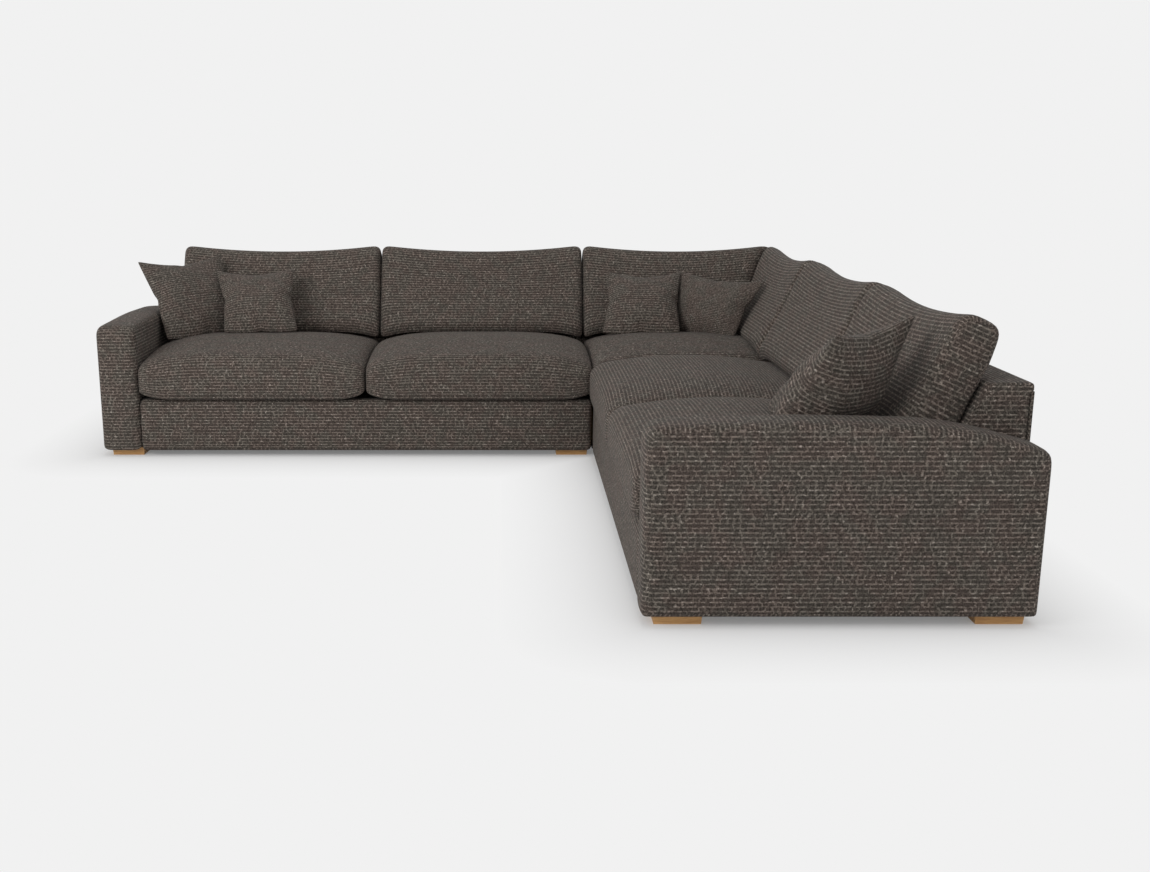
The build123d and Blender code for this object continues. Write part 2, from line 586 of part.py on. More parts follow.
# ---------------------------------------------------------------- back cushions: covers over fibre filling
BACK_BOTTOM = 473.0
BACK_FOOT = 1228.0  # the front of its lower edge, in Y
BACK_FACE = [(1222.0, 505.0), (1326.0, 650.0), (1400.0, 800.0)]  # front face in Y and Z, from foot to top
BACK_RIDGE = 1462.0
BACK_REAR = [(1513.0, 800.0), (1508.0, 735.0)]  # rear face above the frame
BACK_RISE = 16.0  # the ridge's corner point stands this far above the top before it is rounded
BACK_SIDE_RADII = [18.0, 30.0, 900.0, 60.0, 38.0, 60.0, 120.0, 16.0]
BACK_CORNER_R = 42.0
BACK_DIP_R = 2400.0
BACK_END_SLOPE = 8.0  # its ends draw in by this much at the top
BACK_ARM_GAP = 20.0  # between the arm and the outer cushion


def back_side():
    """Side view: from its foot up the front face, over the ridge and down the raked rear."""
    points = [(BACK_FOOT, BACK_BOTTOM), *BACK_FACE, (BACK_RIDGE, BACK_CUSHION_TOP + BACK_RISE), *BACK_REAR,
              (raked(BACK_BOTTOM), BACK_BOTTOM)]
    return points, BACK_SIDE_RADII


def back_front(x0, x1, mitred=False):
    """Front view: the top hangs between raised corners."""
    low, high = BACK_BOTTOM, BACK_CUSHION_TOP
    middle = (x0 + x1) / 2
    slope = 0 if mitred else BACK_END_SLOPE
    points = [(x0, low), (x0 + BACK_END_SLOPE, high), (middle, high - 2 * BACK_CUSHION_DIP), (x1 - slope, high),
              (x1, low)]
    return points, [BACK_CORNER_R, BACK_CORNER_R, BACK_DIP_R, BACK_CORNER_R, BACK_CORNER_R]


def back_solid(x0, x1, inset):
    return seen_along("X", *back_side(), inset) & seen_along("Y", *back_front(x0, x1), inset)


def mitred_back_solid(inset):
    """The corner's back cushion: its right end follows the mitre."""
    x0, x1 = FRONT + CUSHION_GAP, BACK_RIDGE
    shape = seen_along("X", *back_side(), inset) & seen_along("Y", *back_front(x0, x1, True), inset)
    return shape & rear_side_of_mitre(CUSHION_GAP + inset)


def back_and_mirror(left, right, make_solid):
    cover, fibre = cover_and_fill(make_solid)
    node(f"{left}_back_cushion_cover", cover)
    node(f"{left}_back_cushion_fibre", fibre)
    node(f"{right}_back_cushion_cover", to_side_run(cover))
    node(f"{right}_back_cushion_fibre", to_side_run(fibre))


back_and_mirror("left_outer", "right_outer",
                lambda inset: back_solid(ARM_INNER + BACK_ARM_GAP, seat_joint - CUSHION_GAP, inset))
back_and_mirror("left_inner", "right_inner",
                lambda inset: back_solid(seat_joint + CUSHION_GAP, FRONT - CUSHION_GAP, inset))
back_and_mirror("corner_rear", "corner_side", mitred_back_solid)

# ---------------------------------------------------------------- scatter cushions: loose, leaning on the backs
SCATTER_RIM = 30.0  # thickness at its corners
SCATTER_WAIST = 10.0  # each side bows in by this much
SQUEEZED = [(-125.0, -160.0), (130.0, -160.0), (185.0, 160.0), (-160.0, 160.0)]  # pressed into the corner
LARGE_PLACE = (-1322.0, 1106.0, 665.0)  # centres, with their leans and turns in degrees
LARGE_LEAN, LARGE_TURN = 29.0, 48.0
SMALL_PLACE = (-1005.0, 1112.0, 645.0)
SMALL_LEAN, SMALL_TURN = 40.0, 10.0
CORNER_LEFT_PLACE = (768.0, 1150.0, 637.0)
CORNER_RIGHT_PLACE = (1100.0, 1090.0, 637.0)
CORNER_LEAN, CORNER_LEFT_TURN, CORNER_RIGHT_TURN = 42.0, -7.0, -15.0


def square(size):
    half = size / 2
    return [(-half, -half), (half, -half), (half, half), (-half, half)]


def scatter(corners, centre, lean, turn):
    """A lens-shaped cushion with bowed-in sides.

    Its corners are given in its own plane. It leans back by lean degrees and is turned about Z,
    which takes its right end to the rear when turn is positive.
    """
    sides = [SagittaArc(a, b, SCATTER_WAIST) for a, b in zip(corners, corners[1:] + corners[:1])]
    outline = extrude(make_face(sides), amount=SCATTER_THICKNESS, both=True)
    sagitta = (SCATTER_THICKNESS - SCATTER_RIM) / 2
    reach = max(hypot(x, y) for x, y in corners)
    radius = (reach ** 2 + sagitta ** 2) / (2 * sagitta)
    depth = radius - SCATTER_THICKNESS / 2
    body = outline & Pos(0, 0, -depth) * Sphere(radius) & Pos(0, 0, depth) * Sphere(radius)
    return Pos(*centre) * Rot(0, 0, turn) * Rot(90 - lean, 0, 0) * body


large_scatter = scatter(square(LARGE_SCATTER), LARGE_PLACE, LARGE_LEAN, LARGE_TURN)
small_scatter = scatter(square(SMALL_SCATTER), SMALL_PLACE, SMALL_LEAN, SMALL_TURN)
corner_left_scatter = scatter(square(SMALL_SCATTER), CORNER_LEFT_PLACE, CORNER_LEAN, CORNER_LEFT_TURN)
corner_right_scatter = scatter(SQUEEZED, CORNER_RIGHT_PLACE, CORNER_LEAN, CORNER_RIGHT_TURN)
node("left_large_scatter_cushion", large_scatter)
node("left_small_scatter_cushion", small_scatter)
node("corner_left_scatter_cushion", corner_left_scatter)
node("corner_right_scatter_cushion", corner_right_scatter)
node("right_small_scatter_cushion", to_side_run(small_scatter))
node("right_large_scatter_cushion", to_side_run(large_scatter))

# ---------------------------------------------------------------- write the parts
os.makedirs("parts", exist_ok=True)
for name, solids in nodes.items():
    shape = solids[0] if len(solids) == 1 else Compound(children=solids)
    export_step(shape, f"parts/{name}.step")
    print(name, len(solids))
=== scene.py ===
"""The corner sofa as it looks: woven upholstery, oak feet and loose cushions around the fixed frame."""
import math

import bpy
import numpy as np
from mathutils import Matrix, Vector


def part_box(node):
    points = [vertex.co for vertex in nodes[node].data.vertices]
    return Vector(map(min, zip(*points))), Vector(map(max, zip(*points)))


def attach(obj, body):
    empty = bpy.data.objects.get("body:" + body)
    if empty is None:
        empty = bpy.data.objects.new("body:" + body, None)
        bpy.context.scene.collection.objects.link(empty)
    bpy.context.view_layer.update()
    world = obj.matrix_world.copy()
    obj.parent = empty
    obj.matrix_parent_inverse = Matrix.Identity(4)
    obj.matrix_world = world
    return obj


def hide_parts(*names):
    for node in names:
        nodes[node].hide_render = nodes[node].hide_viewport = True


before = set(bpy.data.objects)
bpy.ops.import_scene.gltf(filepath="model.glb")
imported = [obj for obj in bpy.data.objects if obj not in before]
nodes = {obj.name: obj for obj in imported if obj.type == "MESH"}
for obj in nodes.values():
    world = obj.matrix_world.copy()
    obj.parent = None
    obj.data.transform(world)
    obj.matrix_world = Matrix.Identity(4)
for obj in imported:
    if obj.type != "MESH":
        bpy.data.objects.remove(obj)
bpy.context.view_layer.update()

# ---------------------------------------------------------------- oak feet
# Twelve low blocks of oak, sawn square, sanded and oiled, each bolted up into the frame.
# The oil leaves the wood warm and almost matt, with its grain a little darker than the ground.
OAK_PALE, OAK_DARK = "cc9f67", "b0824f"
OAK_GRAIN = 0.007  # width of a band of grain, in metres
OAK_ALONG = 0.1  # how fast the grain changes along the foot, beside how fast it does across it


def linear(code):
    """An sRGB hex colour as linear red, green, blue and alpha."""
    channels = [int(code[i:i + 2], 16) / 255 for i in (0, 2, 4)]
    return [c / 12.92 if c <= 0.04045 else ((c + 0.055) / 1.055) ** 2.4 for c in channels] + [1.0]


def add(tree, kind, inputs, output=0, **settings):
    """Adds a node with its settings. Inputs, by name or number, take values or other nodes' outputs."""
    made = tree.nodes.new(kind)
    for key, value in settings.items():
        setattr(made, key, value)
    for key, value in inputs.items():
        if isinstance(value, bpy.types.NodeSocket):
            tree.links.new(value, made.inputs[key])
        else:
            made.inputs[key].default_value = value
    return None if output is None else made.outputs[output]


def begin(name):
    """A new material's node tree, with nothing in it."""
    made = bpy.data.materials.new(name)
    made.use_nodes = True
    made.node_tree.nodes.clear()
    return made.node_tree


def end(tree, shader_inputs, height, depth):
    """Ends a material in one shader, whose bump comes from height and is depth metres deep."""
    bump = add(tree, "ShaderNodeBump", {"Height": height, "Distance": depth, "Strength": 1.0})
    shader = add(tree, "ShaderNodeBsdfPrincipled", {**shader_inputs, "Normal": bump})
    add(tree, "ShaderNodeOutputMaterial", {"Surface": shader}, None)
    return next(m for m in bpy.data.materials if m.node_tree == tree)


def blended(tree, share, first, second, **settings):
    """The colour that lies share of the way from first to second."""
    return add(tree, "ShaderNodeMix", {0: share, 6: first, 7: second}, 2, data_type="RGBA", **settings)


def grained(name, pale, dark, width, along, roughness, depth):
    """Planed or sawn wood whose grain runs along X."""
    tree = begin(name)
    place = add(tree, "ShaderNodeTexCoord", {}, 3)
    drawn = add(tree, "ShaderNodeMapping", {"Vector": place, "Scale": (along, 1, 1)})
    bands = add(tree, "ShaderNodeTexNoise",
                {"Vector": drawn, "Scale": 1 / width, "Detail": 6.0, "Distortion": 1.0})
    sharp = add(tree, "ShaderNodeMapRange", {0: bands, 1: 0.35, 2: 0.65})
    colour = blended(tree, sharp, linear(dark), linear(pale))
    return end(tree, {"Base Color": colour, "Roughness": roughness, "IOR": 1.5}, sharp, depth)


def dress(look, *names):
    """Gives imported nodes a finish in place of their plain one."""
    for name in names:
        nodes[name].data.materials.clear()
        nodes[name].data.materials.append(look)


oak = grained("oiled oak", OAK_PALE, OAK_DARK, OAK_GRAIN, OAK_ALONG, 0.55, 0.0002)
dress(oak, "feet")

# ---------------------------------------------------------------- steel fixings
# Foot bolts, and the hooks, sockets and screws that join the three units, all zinc-plated steel.
# Bright zinc is a cool grey metal with a faint cloudiness.
ZINC_PALE, ZINC_DARK = "c4c6ca", "9a9da3"
ZINC_CLOUD = 0.012


def zinc_plate():
    """Steel plated with bright zinc."""
    tree = begin("zinc plated steel")
    place = add(tree, "ShaderNodeTexCoord", {}, 3)
    clouds = add(tree, "ShaderNodeTexNoise", {"Vector": place, "Scale": 1 / ZINC_CLOUD, "Detail": 3.0})
    colour = blended(tree, clouds, linear(ZINC_DARK), linear(ZINC_PALE))
    return end(tree, {"Base Color": colour, "Metallic": 1.0, "Roughness": 0.35}, clouds, 0.00005)


dress(zinc_plate(), "foot_bolts", "connector_hooks", "connector_sockets", "connector_screws")

# ---------------------------------------------------------------- timber frame
# Rails, cross rails, posts and blocks of planed spruce, and arm sides of birch plywood, glued and screwed.
# They are left bare, so they are pale and dull with a clear grain.
SPRUCE_PALE, SPRUCE_DARK = "dcc296", "c39f6c"
BIRCH_PALE, BIRCH_DARK = "e0cba6", "cfb183"

spruce = grained("planed spruce", SPRUCE_PALE, SPRUCE_DARK, 0.012, 0.06, 0.7, 0.0003)
birch = grained("birch plywood", BIRCH_PALE, BIRCH_DARK, 0.02, 0.15, 0.65, 0.0002)
dress(spruce, "arm_posts", "arm_top_battens", "front_rails", "seat_back_rails", "outside_back_rails",
      "end_rails", "cross_rails", "corner_blocks", "back_top_rails")
dress(birch, "arm_side_boards", "back_gussets")

# ---------------------------------------------------------------- webbing, platform cloth and dust cloth
# Elastic straps are stretched over the rails, a padded cloth deck lies on them, and a thin cloth closes each
# base. All three are dark and dull: the straps are coarsely woven, the deck and the dust cloth finely.
STRAP_PALE, STRAP_DARK = "3b3b3f", "1d1d20"
DECK_PALE, DECK_DARK = "3d3836", "282423"
DUST_PALE, DUST_DARK = "2a2a2c", "19191b"


def plain_cloth(name, pale, dark, thread, depth):
    """A plain weave read from the object's own X, Y and Z, with threads a thread apart."""
    tree = begin(name)
    place = add(tree, "ShaderNodeTexCoord", {}, 3)
    threads = {"Vector": place, "Scale": math.pi / 10 / thread}
    warp = add(tree, "ShaderNodeTexWave", threads, 1, bands_direction="X")
    weft = add(tree, "ShaderNodeTexWave", threads, 1, bands_direction="Y")
    weave = add(tree, "ShaderNodeMath", {0: warp, 1: weft}, operation="MULTIPLY")
    fluff = add(tree, "ShaderNodeTexNoise", {"Vector": place, "Scale": 40.0, "Detail": 5.0})
    share = add(tree, "ShaderNodeMath", {0: weave, 1: fluff}, operation="MULTIPLY")
    colour = blended(tree, share, linear(dark), linear(pale))
    return end(tree, {"Base Color": colour, "Roughness": 0.95}, weave, depth)


dress(plain_cloth("elastic webbing", STRAP_PALE, STRAP_DARK, 0.004, 0.0006), "seat_webbing", "back_webbing")
dress(plain_cloth("platform cloth", DECK_PALE, DECK_DARK, 0.003, 0.0004),
      "left_seat_platform", "corner_seat_platform", "right_seat_platform")
dress(plain_cloth("dust cloth", DUST_PALE, DUST_DARK, 0.002, 0.0002), "dust_covers")

# ---------------------------------------------------------------- foam and fibre fillings
# Cut polyurethane foam fills the seats, and blown polyester fibre in a white case fills the back cushions.
# Foam is cream with fine open cells, and the fibre case is soft white.
FOAM_PALE, FOAM_DARK = "efe6cc", "dccfae"
FIBRE_PALE, FIBRE_DARK = "f1f0ec", "dcdad4"


def open_cells(name, pale, dark, cell, depth):
    """A soft filling with cells or tufts of one size."""
    tree = begin(name)
    place = add(tree, "ShaderNodeTexCoord", {}, 3)
    cells = add(tree, "ShaderNodeTexVoronoi", {"Vector": place, "Scale": 1 / cell})
    colour = blended(tree, cells, linear(dark), linear(pale))
    return end(tree, {"Base Color": colour, "Roughness": 0.95}, cells, depth)


foam = open_cells("polyurethane foam", FOAM_PALE, FOAM_DARK, 0.004, 0.0006)
fibre = open_cells("fibre case", FIBRE_PALE, FIBRE_DARK, 0.03, 0.003)

# ---------------------------------------------------------------- woven upholstery fabric
# A chunky basket weave: pale slub yarns lie in rows on a dark brown ground, and short ties cross between
# the rows.
# Wool-like yarn is dull with a soft sheen at its edges, and its dye drifts between red brown and grey green.
ROW = 0.0134  # from one row of pale yarn to the next
TIE = 0.0185  # from one tie to the next, between two rows
LEAN = 1.0  # how much the ties stray, as a share of their spacing
DASH = 0.011  # length over which a yarn comes up and goes under
WAVER, WAVER_SIZE = 0.007, 0.012  # how far, and over what length, a row strays from straight
FIBRE_SIZE = 0.0042  # far coarser than real fibres, which would be too fine to see
DRIFT = 0.05  # size of a patch of drifting dye
DYED = 0.45  # how strongly the dye tints the cloth
GROUND, GROUND_DEEP = "605954", "36322e"
PALE_YARN, SLUB = "9b9289", "c6bdb5"
RED_DYE, GREEN_DYE = "826a63", "72746c"

tree = begin("basket weave wool")
place = add(tree, "ShaderNodeTexCoord", {}, 3)
cloth = add(tree, "ShaderNodeUVMap", {}, uv_map="weave")
along = add(tree, "ShaderNodeSeparateXYZ", {0: cloth}, 0)
across = add(tree, "ShaderNodeSeparateXYZ", {0: cloth}, 1)
stray = add(tree, "ShaderNodeTexNoise", {"Vector": cloth, "Scale": 1 / WAVER_SIZE})
height = add(tree, "ShaderNodeMath", {0: stray, 1: WAVER, 2: across}, operation="MULTIPLY_ADD")
rows = add(tree, "ShaderNodeMath", {0: height, 1: ROW}, operation="DIVIDE")
row = add(tree, "ShaderNodeMath", {0: rows}, operation="ROUND")
from_row = add(tree, "ShaderNodeMath", {0: rows, 1: 0.5}, operation="PINGPONG")
yarn = add(tree, "ShaderNodeMapRange", {0: from_row, 1: 0.27, 2: 0.05}, interpolation_type="SMOOTHSTEP")

# each row of yarn goes under the ground here and there, so it reads as dashes
row_seed = add(tree, "ShaderNodeMath", {0: row, 1: 7.31}, operation="MULTIPLY")
in_dashes = add(tree, "ShaderNodeMath", {0: along, 1: DASH}, operation="DIVIDE")
dash_place = add(tree, "ShaderNodeCombineXYZ", {0: in_dashes, 1: row_seed})
dashes = add(tree, "ShaderNodeTexNoise", {"Vector": dash_place, "Scale": 1.0, "Detail": 1.0})
risen = add(tree, "ShaderNodeMapRange", {0: dashes, 1: 0.38, 2: 0.56, 3: 0.25},
            interpolation_type="SMOOTHSTEP")
pale_rows = add(tree, "ShaderNodeMath", {0: yarn, 1: risen}, operation="MULTIPLY")

# the ties stand between two rows, shifted from one row to the next, and some are hidden
between = add(tree, "ShaderNodeMath", {0: rows}, operation="FLOOR")
start = add(tree, "ShaderNodeTexWhiteNoise", {1: between}, noise_dimensions="1D")
leaning = add(tree, "ShaderNodeMath", {0: stray, 1: LEAN, 2: start}, operation="MULTIPLY_ADD")
in_ties = add(tree, "ShaderNodeMath", {0: along, 1: TIE}, operation="DIVIDE")
column = add(tree, "ShaderNodeMath", {0: in_ties, 1: leaning}, operation="ADD")
nearest = add(tree, "ShaderNodeMath", {0: column}, operation="ROUND")
from_tie = add(tree, "ShaderNodeMath", {0: column, 1: 0.5}, operation="PINGPONG")
tie = add(tree, "ShaderNodeMapRange", {0: from_tie, 1: 0.2, 2: 0.04}, interpolation_type="SMOOTHSTEP")
tie_seed = add(tree, "ShaderNodeCombineXYZ", {0: nearest, 1: between})
chance = add(tree, "ShaderNodeTexWhiteNoise", {0: tie_seed}, noise_dimensions="2D")
shown = add(tree, "ShaderNodeMapRange", {0: chance, 1: 0.25, 2: 0.85, 4: 0.75})
pale_ties = add(tree, "ShaderNodeMath", {0: tie, 1: shown}, operation="MULTIPLY")

# loose fibres break up both, and a thick pale slub sits where one of them knots
fibres = add(tree, "ShaderNodeTexNoise", {"Vector": place, "Scale": 1 / FIBRE_SIZE, "Detail": 3.0})
worn = add(tree, "ShaderNodeMapRange", {0: fibres, 1: 0.3, 2: 0.6, 3: 0.35})
both = add(tree, "ShaderNodeMath", {0: pale_rows, 1: pale_ties}, operation="MAXIMUM")
pale = add(tree, "ShaderNodeMath", {0: both, 1: worn}, operation="MULTIPLY")
knots = add(tree, "ShaderNodeTexNoise", {"Vector": cloth, "Scale": 0.9 / DASH})
knotted = add(tree, "ShaderNodeMapRange", {0: knots, 1: 0.58, 2: 0.68}, interpolation_type="SMOOTHSTEP")
slub = add(tree, "ShaderNodeMath", {0: pale, 1: knotted}, operation="MULTIPLY")

depth_share = add(tree, "ShaderNodeMapRange", {0: fibres, 1: 0.36, 2: 0.62})
ground = blended(tree, depth_share, linear(GROUND_DEEP), linear(GROUND))
yarns = blended(tree, pale, ground, linear(PALE_YARN))
slubbed = blended(tree, slub, yarns, linear(SLUB))
drift = add(tree, "ShaderNodeTexNoise", {"Vector": place, "Scale": 1 / DRIFT, "Detail": 3.0})
dyed = add(tree, "ShaderNodeMapRange", {0: drift, 1: 0.4, 2: 0.6}, interpolation_type="SMOOTHSTEP")
dye = blended(tree, dyed, linear(GREEN_DYE), linear(RED_DYE))
colour = blended(tree, DYED, slubbed, dye, blend_type="SOFT_LIGHT")
relief = add(tree, "ShaderNodeMath", {0: fibres, 1: 0.35, 2: pale}, operation="MULTIPLY_ADD")
weave = end(tree, {"Base Color": colour, "Roughness": 0.9, "Sheen Weight": 0.04, "Sheen Roughness": 0.5,
                   "Specular IOR Level": 0.15}, relief, 0.0018)

# ---------------------------------------------------------------- arms
# Each arm is a plywood box under foam, wrapped in one length of fabric over its front, top and rear.
# The two side panels are sewn to that length just inside its rounded edges.
CELL = 0.036  # side of a face before the mesh is subdivided
ARM_ROUND = 0.029
ARM_RADII = [0.012, 0.045, 4.0, 1.1, 0.034, 0.014]
ARM_TOP = ((0.0, 0.568), (0.42, 0.580), (0.83, 0.571))  # distance behind the front, and height
ARM_REAR = 0.500  # height of the top's rear edge
ARM_BULGE = 0.003  # of the side panels
ARM_PUFF = 0.004  # of the top and the front
REAR_PUFF = 0.005  # how far the padding swells the rear of an arm
TUCK = 0.010  # how far the fabric, folded under and stapled, hangs below the frame that carries it


def outline(corners, radii, inset=0.0):
    """A closed outline with round corners, drawn in by inset; inset doesn't change its number of points."""
    corners = np.array(corners, float)
    ahead = np.roll(corners, -1, 0) - corners
    lengths = np.linalg.norm(ahead, axis=1)
    ahead /= lengths[:, None]
    arcs, reaches = [], []
    for i, radius in enumerate(radii):
        before, after = ahead[i - 1], ahead[i]
        inward = [np.array([-d[1], d[0]]) for d in (before, after)]
        turn = math.atan2(before[0] * after[1] - before[1] * after[0], before @ after)
        corner = corners[i] + inset * (inward[0] + inward[1]) / (1 + inward[0] @ inward[1])
        side = math.copysign(1.0, turn)
        drawn = max(radius - side * inset, 0.1 * radius)
        start = corner - before * drawn * math.tan(abs(turn) / 2)
        centre = start + inward[0] * drawn * side
        steps = max(2, round(radius * abs(turn) / CELL / 0.6))
        angles = np.linspace(0, turn, steps + 1)[:, None]
        spoke = start - centre
        across = np.array([-spoke[1], spoke[0]])
        arcs.append(centre + np.cos(angles) * spoke + np.sin(angles) * across)
        reaches.append(radius * math.tan(abs(turn) / 2))
    points = []
    for i, arc in enumerate(arcs):
        following = arcs[(i + 1) % len(arcs)][0]
        straight = lengths[i] - reaches[i] - reaches[(i + 1) % len(arcs)]
        steps = max(1, round(straight / CELL))
        shares = np.linspace(0, 1, steps + 1)[1:-1, None]
        points += [arc, arc[-1] * (1 - shares) + following * shares]
    return np.vstack(points)


SEAM_ANGLE, SEAM_SPREAD, SEAM_DEPTH = 0.5, 0.09, 0.002  # a sewn groove, at an angle round the rounded end


def carried(corners, radii, start, stop, rounding, bulge=0.0, inset=0.0, lean=0.0):
    """An outline in Y and Z carried along X, its ends rounded over, sewn and closed by bulging panels.

    Returns points, faces and a UV pair for each corner of each face, in metres along the cloth. The weave of
    the end panels is turned by lean.
    """
    stations = []  # place in X, inset, size of the ring, place along the cloth, whether it is in an end panel
    for size in (0.0, 0.25, 0.5, 0.75):
        stations.append((-bulge * (1 - size ** 2), rounding, size, 0.0, True))
    for angle in (0.0, SEAM_ANGLE - SEAM_SPREAD, SEAM_ANGLE, SEAM_ANGLE + SEAM_SPREAD, 1.05, math.pi / 2):
        sunk = SEAM_DEPTH if angle == SEAM_ANGLE else 0.0
        stations.append((rounding * (1 - math.cos(angle)) + sunk * math.cos(angle),
                         rounding * (1 - math.sin(angle)) + sunk * math.sin(angle), 1.0,
                         rounding * (1 - math.pi / 2 + angle), angle <= SEAM_ANGLE))
    straight = stop - start - 2 * rounding
    middle = start + rounding + np.linspace(0, 1, max(2, round(straight / CELL)) + 1)[1:-1] * straight
    rows = [(start + x, drawn, size, start + u, panel) for x, drawn, size, u, panel in stations]
    rows += [(x, 0.0, 1.0, x, False) for x in middle]
    rows += [(stop - x, drawn, size, stop - u, panel) for x, drawn, size, u, panel in reversed(stations)]
    base = outline(corners, radii)
    count = len(base)
    along = np.concatenate([[0], np.cumsum(np.linalg.norm(np.roll(base, -1, 0) - base, axis=1))])
    centre = base.mean(0)
    points = []
    for x, drawn, size, _, _ in rows:
        ring = centre + (outline(corners, radii, drawn + inset) - centre) * size
        points.append(np.column_stack([np.full(count, x), ring]))
    first, last = points[0][:1], points[-1][:1]
    points = np.vstack([first, *points[1:-1], last])
    poles = (0, len(points) - 1)
    faces, uvs = [], []
    for j in range(len(rows) - 1):
        panel = rows[j][4] and rows[j + 1][4]
        for i in range(count):
            quad = [(i, j), (i + 1, j), (i + 1, j + 1), (i, j + 1)]
            face, uv = [], []
            for a, b in quad:
                at = 1 + (b - 1) * count + a % count
                if b in (0, len(rows) - 1):
                    at = poles[0] if b == 0 else poles[1]
                if at in face:
                    continue
                face.append(at)
                y, z = points[at][1:]
                turned = (y * math.cos(lean) - z * math.sin(lean), z * math.cos(lean) + y * math.sin(lean))
                uv.append(turned if panel else (rows[b][3], along[a]))
            faces.append(face)
            uvs.append(uv)
    return points, faces, uvs


def to_side_run(skin):
    """The same skin on the side run: the mirror image about the upright plane X = Y."""
    points, faces, uvs = skin
    return points[:, [1, 0, 2]], [f[::-1] for f in faces], [u[::-1] for u in uvs]


def shaped(skin, shape):
    """The skin with its points moved by shape, which takes and returns arrays of X, Y and Z."""
    points, faces, uvs = skin
    return np.column_stack(shape(*points.T)), faces, uvs


def smooth_step(value, low, high):
    """Nought up to low, one from high, and a smooth rise between them."""
    share = np.clip((value - low) / (high - low), 0, 1)
    return share * share * (3 - 2 * share)


def piece(name, skin, look, body, *replaced, slot="upholstery_fabric", levels=1):
    """Makes an object of a skin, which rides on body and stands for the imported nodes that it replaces."""
    points, faces, uvs = skin
    mesh = bpy.data.meshes.new(name)
    mesh.from_pydata(points.tolist(), [], faces)
    layer = mesh.uv_layers.new(name="weave")
    layer.data.foreach_set("uv", np.concatenate(uvs).ravel())
    mesh.shade_smooth()
    mesh.materials.append(look)
    made = bpy.data.objects.new(name, mesh)
    bpy.context.scene.collection.objects.link(made)
    if levels:
        rounder = made.modifiers.new("rounder", "SUBSURF")
        rounder.levels = rounder.render_levels = levels
    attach(made, body)
    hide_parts(*replaced)
    return made


arm_low, arm_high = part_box("left_arm_upholstery")
floor_gap = arm_low.z - TUCK
arm_corners = [(arm_low.y, floor_gap), *((arm_low.y + back, top) for back, top in ARM_TOP),
               (arm_high.y + REAR_PUFF, ARM_REAR), (arm_high.y + REAR_PUFF, floor_gap)][::-1]


def padded_arm(x, y, z):
    """The padding stands a little proud in the middle of the top and of the front."""
    across = 1 - ((x - (arm_low.x + arm_high.x) / 2) / (arm_high.x - arm_low.x) * 2) ** 2
    upper = smooth_step(z, 0.45, 0.56)
    return x, y - ARM_PUFF * across * smooth_step(0.60 - y, 0.0, 0.08), z + ARM_PUFF * across * upper


arm = shaped(carried(arm_corners, ARM_RADII[::-1], arm_low.x, arm_high.x, ARM_ROUND, ARM_BULGE), padded_arm)
piece("left_arm", arm, weave, "frame", "left_arm_upholstery")
piece("right_arm", to_side_run(arm), weave, "frame", "right_arm_upholstery")

# ---------------------------------------------------------------- front borders
# A padded rail under the seat cushions of each wing, covered in one strip whose top edge is softly rounded.
# The strip turns under at the bottom, where it is stapled.
BORDER_RADII = [0.008, 0.006, 0.012, 0.027]
BORDER_ROUND = 0.022

border_low, border_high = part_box("left_front_border")
border_corners = [(border_low.y, floor_gap), (border_high.y, floor_gap), (border_high.y, border_high.z),
                  (border_low.y, border_high.z)]
border = carried(border_corners, BORDER_RADII, border_low.x, border_high.x, BORDER_ROUND)
piece("left_border", border, weave, "frame", "left_front_border")
piece("right_border", to_side_run(border), weave, "frame", "right_front_border")

# ---------------------------------------------------------------- raked backs and the outside back
# Padding and fabric are pulled over the raked inside and the flat top of each back, and the outside back
# is a fabric-covered board, so these edges are tight and only lightly rounded.
BACK_RADII = [0.004, 0.004, 0.004, 0.004, 0.010, 0.022]
BACK_ROUND = 0.009
BACK_SEAM = 1.610  # where the back upholstery stops and the outside panel starts, in Y
BACK_LIP = (0.630, 0.642)  # from where to where the top steps out over the outside panel, in Z
RAKE_TOP = 1.489  # where the raked inside reaches the flat top, in Y
PANEL_ROUND = 0.003
MITRE_GAP = 0.0005  # from each half of the corner to the plane X = Y, in X

back_low, back_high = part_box("left_back_upholstery")
_, panel_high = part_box("outside_back_panels")
back_corners = [(back_low.y, back_low.z), (BACK_SEAM, back_low.z), (BACK_SEAM, BACK_LIP[0]),
                (back_high.y, BACK_LIP[1]), (back_high.y, back_high.z), (RAKE_TOP, back_high.z)]
back = carried(back_corners, BACK_RADII, back_low.x, back_high.x, BACK_ROUND)
piece("left_back", back, weave, "frame", "left_back_upholstery")
piece("right_back", to_side_run(back), weave, "frame", "right_back_upholstery")

corner_low, corner_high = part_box("corner_rear_back_upholstery")


def mitred(start, stop, gap):
    """Pulls the right end of a skin, which lies at stop, onto the plane X = Y, less gap."""
    def shape(x, y, z):
        return start + (x - start) / (stop - start) * (y - gap - start), y, z
    return shape


corner_back = shaped(carried(back_corners, BACK_RADII, corner_low.x, corner_high.x, BACK_ROUND),
                     mitred(corner_low.x, corner_high.x, MITRE_GAP))
piece("corner_rear_back", corner_back, weave, "frame", "corner_rear_back_upholstery")
piece("corner_side_back", to_side_run(corner_back), weave, "frame", "corner_side_back_upholstery")

